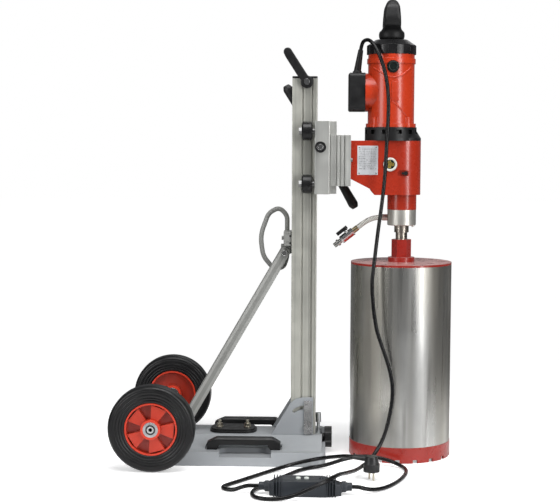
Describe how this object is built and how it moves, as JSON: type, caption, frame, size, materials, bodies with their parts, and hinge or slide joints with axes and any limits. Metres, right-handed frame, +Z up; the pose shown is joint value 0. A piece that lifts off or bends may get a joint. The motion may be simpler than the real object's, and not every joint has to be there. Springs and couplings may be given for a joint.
{
  "type": "core drill rig",
  "caption": "Wheeled core drilling stand with a tilting column, rack-fed carriage, wet drill motor with a large core bit, water line and a mains cord with a safety switch box.",
  "frame": {"origin": "on the underside of the base plate, below the middle of the column", "axes": "+X from the column towards the core bit, +Y to the left of someone who stands behind the column, on the feed handle's side, +Z up along the column"},
  "size_m": [0.8019, 0.7188, 1.094],
  "materials": {
    "base_paint": "casting with satin grey paint",
    "grey_paint": "satin grey paint",
    "black_paint": "satin black powder coat",
    "black_plastic": "moulded, matt",
    "yellow_zinc": "yellow zinc plated",
    "zinc": "zinc plated",
    "bearing_steel": "ground",
    "dark_steel": "blackened",
    "box_plastic": "moulded, dark grey",
    "plug_plastic": "moulded",
    "cord_rubber": "smooth sheath",
    "tyre": "ribbed side walls",
    "red_plastic": "moulded",
    "anodised": "anodised, satin",
    "steel": "machined",
    "bright_zinc": "bright plated",
    "red_enamel": "casting with gloss enamel",
    "sight_glass": "dark oil sight",
    "swivel_metal": "turned",
    "soft_black": "soft grip",
    "brush_cap": "moulded",
    "stator_steel": "laminated",
    "clear_hose": "clear, with braid",
    "brass": "machined",
    "roller_plastic": "hard nylon",
    "handle_metal": "plated bar with moulded grips",
    "adaptor_red": "enamel",
    "core_steel": "brushed tube",
    "crown_red": "enamel",
    "rocker_plastic": "moulded",
    "button_plastic": "moulded"
  },
  "bodies": {
    "base": {"base_casting": "base_paint", "base_handles": "black_paint", "slot_cover": "black_plastic", "base_bolts": "yellow_zinc", "foot_brackets": "base_paint", "axle": "zinc", "wheel_bearings": "bearing_steel", "base_brackets": "grey_paint", "column_lock": "dark_steel", "safety_box": "box_plastic", "mains_plug": "plug_plastic", "floor_cord": "cord_rubber", "supply_cord": "cord_rubber"},
    "star_knob": {"star_knob": "black_plastic"},
    "wheel_right": {"wheel_right_tyre": "tyre", "wheel_right_rim": "red_plastic"},
    "wheel_left": {"wheel_left_tyre": "tyre", "wheel_left_rim": "red_plastic"},
    "column": {"column": "anodised", "column_cap": "black_plastic", "rack": "steel", "column_bolts": "bright_zinc"},
    "top_handle": {"top_handle": "black_plastic"},
    "strut_clamp": {"strut_clamp": "grey_paint", "loop_handle": "grey_paint"},
    "strut": {"strut": "grey_paint"},
    "carriage": {"carriage": "anodised", "spacer_block": "anodised", "carriage_bolts": "bright_zinc", "gear_housing": "red_enamel", "sight_glass": "sight_glass", "water_swivel": "swivel_metal", "vent_ring": "black_plastic", "motor_housing": "red_enamel", "motor_cap": "black_plastic", "d_handle": "soft_black", "brush_caps": "brush_cap", "switch_box": "black_plastic", "strain_relief": "black_plastic", "stator": "stator_steel", "water_hose": "clear_hose", "water_valve": "brass", "motor_cord": "cord_rubber"},
    "roller_lower_right": {"roller_lower_right": "roller_plastic"},
    "roller_lower_left": {"roller_lower_left": "roller_plastic"},
    "roller_upper_right": {"roller_upper_right": "roller_plastic"},
    "roller_upper_left": {"roller_upper_left": "roller_plastic"},
    "feed": {"feed_shaft": "steel", "feed_handle": "handle_metal"},
    "spindle": {"spindle": "steel", "core_adaptor": "adaptor_red", "core_tube": "core_steel", "core_crown": "crown_red"},
    "layshaft": {"layshaft": "steel"},
    "rotor": {"rotor": "steel"},
    "gear_knob": {"gear_knob": "black_plastic"},
    "switch_rocker": {"switch_rocker": "rocker_plastic"},
    "valve_lever": {"valve_lever": "black_plastic"},
    "test_button": {"test_button": "button_plastic"},
    "reset_button": {"reset_button": "button_plastic"}
  },
  "joints": [
    {"name": "column_tilt", "type": "hinge", "parent": "base", "child": "column", "pos_m": [0.008, 0, 0.068], "axis": [0, -1, 0], "range_deg": [0, 35], "deforming": ["floor_cord"]},
    {"name": "strut_swing", "type": "hinge", "parent": "base", "child": "strut", "pos_m": [-0.285, 0, 0.078], "axis": [0, -1, 0], "range_deg": [0, 43.38]},
    {"name": "clamp_slide", "type": "slide", "parent": "column", "child": "strut_clamp", "axis": [0, 0, 1], "range_m": [0, 0.1959]},
    {"name": "carriage_slide", "type": "slide", "parent": "column", "child": "carriage", "axis": [0, 0, 1], "range_m": [-0.43, 0.06], "deforming": ["motor_cord"]},
    {"name": "feed_turn", "type": "hinge", "parent": "carriage", "child": "feed", "pos_m": [0.038, 0, 0.7445], "axis": [0, -1, 0], "range_deg": [-1765, 250]},
    {"name": "roller_lower_right_turn", "type": "hinge", "parent": "carriage", "child": "roller_lower_right", "pos_m": [0.0065, -0.0625, 0.657], "axis": [1, 0, 0], "range_deg": [-160, 1100]},
    {"name": "roller_lower_left_turn", "type": "hinge", "parent": "carriage", "child": "roller_lower_left", "pos_m": [0.0065, 0.0625, 0.657], "axis": [1, 0, 0], "range_deg": [-1100, 160]},
    {"name": "roller_upper_right_turn", "type": "hinge", "parent": "carriage", "child": "roller_upper_right", "pos_m": [0.0065, -0.0625, 0.782], "axis": [1, 0, 0], "range_deg": [-160, 1100]},
    {"name": "roller_upper_left_turn", "type": "hinge", "parent": "carriage", "child": "roller_upper_left", "pos_m": [0.0065, 0.0625, 0.782], "axis": [1, 0, 0], "range_deg": [-1100, 160]},
    {"name": "spindle_turn", "type": "hinge", "parent": "carriage", "child": "spindle", "pos_m": [0.2348, 0, 0.65], "axis": [0, 0, 1], "continuous": true},
    {"name": "layshaft_turn", "type": "hinge", "parent": "carriage", "child": "layshaft", "pos_m": [0.1972, 0.02862, 0.7], "axis": [0, 0, 1], "continuous": true},
    {"name": "rotor_turn", "type": "hinge", "parent": "carriage", "child": "rotor", "pos_m": [0.2062, 0, 0.85], "axis": [0, 0, 1], "continuous": true},
    {"name": "wheel_right_turn", "type": "hinge", "parent": "base", "child": "wheel_right", "pos_m": [-0.3448, -0.219, 0.1], "axis": [0, 1, 0], "continuous": true},
    {"name": "wheel_left_turn", "type": "hinge", "parent": "base", "child": "wheel_left", "pos_m": [-0.3448, 0.219, 0.1], "axis": [0, 1, 0], "continuous": true},
    {"name": "top_handle_swing", "type": "hinge", "parent": "column", "child": "top_handle", "pos_m": [0.0049, 0, 0.898], "axis": [0, 1, 0], "range_deg": [-110, 45]},
    {"name": "star_knob_turn", "type": "hinge", "parent": "base", "child": "star_knob", "pos_m": [0.05, 0, 0.035], "axis": [1, 0, 0], "range_deg": [-360, 360]},
    {"name": "gear_knob_turn", "type": "hinge", "parent": "carriage", "child": "gear_knob", "pos_m": [0.241, -0.05, 0.683], "axis": [0, -1, 0], "range_deg": [0, 180]},
    {"name": "switch_rock", "type": "hinge", "parent": "carriage", "child": "switch_rocker", "pos_m": [0.113, 0, 0.87525], "axis": [0, 1, 0], "range_deg": [-7, 7]},
    {"name": "valve_lever_turn", "type": "hinge", "parent": "carriage", "child": "valve_lever", "pos_m": [0.10089, 0, 0.54112], "axis": [-0.6247, 0, 0.7809], "range_deg": [0, 90]},
    {"name": "test_button_press", "type": "slide", "parent": "base", "child": "test_button", "axis": [0, 0, -1], "range_m": [0, 0.0015], "stiffness_N_per_m": 600, "springref_m": -0.001},
    {"name": "reset_button_press", "type": "slide", "parent": "base", "child": "reset_button", "axis": [0, 0, -1], "range_m": [0, 0.0015], "stiffness_N_per_m": 600, "springref_m": -0.001}
  ],
  "couplings": [
    {"joint": "strut_swing", "follows": "column_tilt", "ratio": 1.2251},
    {"joint": "clamp_slide", "follows": "column_tilt", "m_per_rad": 0.31913},
    {"joint": "feed_turn", "follows": "carriage_slide", "rad_per_m": 71.429},
    {"joint": "roller_lower_right_turn", "follows": "carriage_slide", "rad_per_m": -44.444},
    {"joint": "roller_lower_left_turn", "follows": "carriage_slide", "rad_per_m": 44.444},
    {"joint": "roller_upper_right_turn", "follows": "carriage_slide", "rad_per_m": -44.444},
    {"joint": "roller_upper_left_turn", "follows": "carriage_slide", "rad_per_m": 44.444},
    {"joint": "layshaft_turn", "follows": "spindle_turn", "ratio": -3.5},
    {"joint": "rotor_turn", "follows": "spindle_turn", "ratio": 15.167}
  ]
}
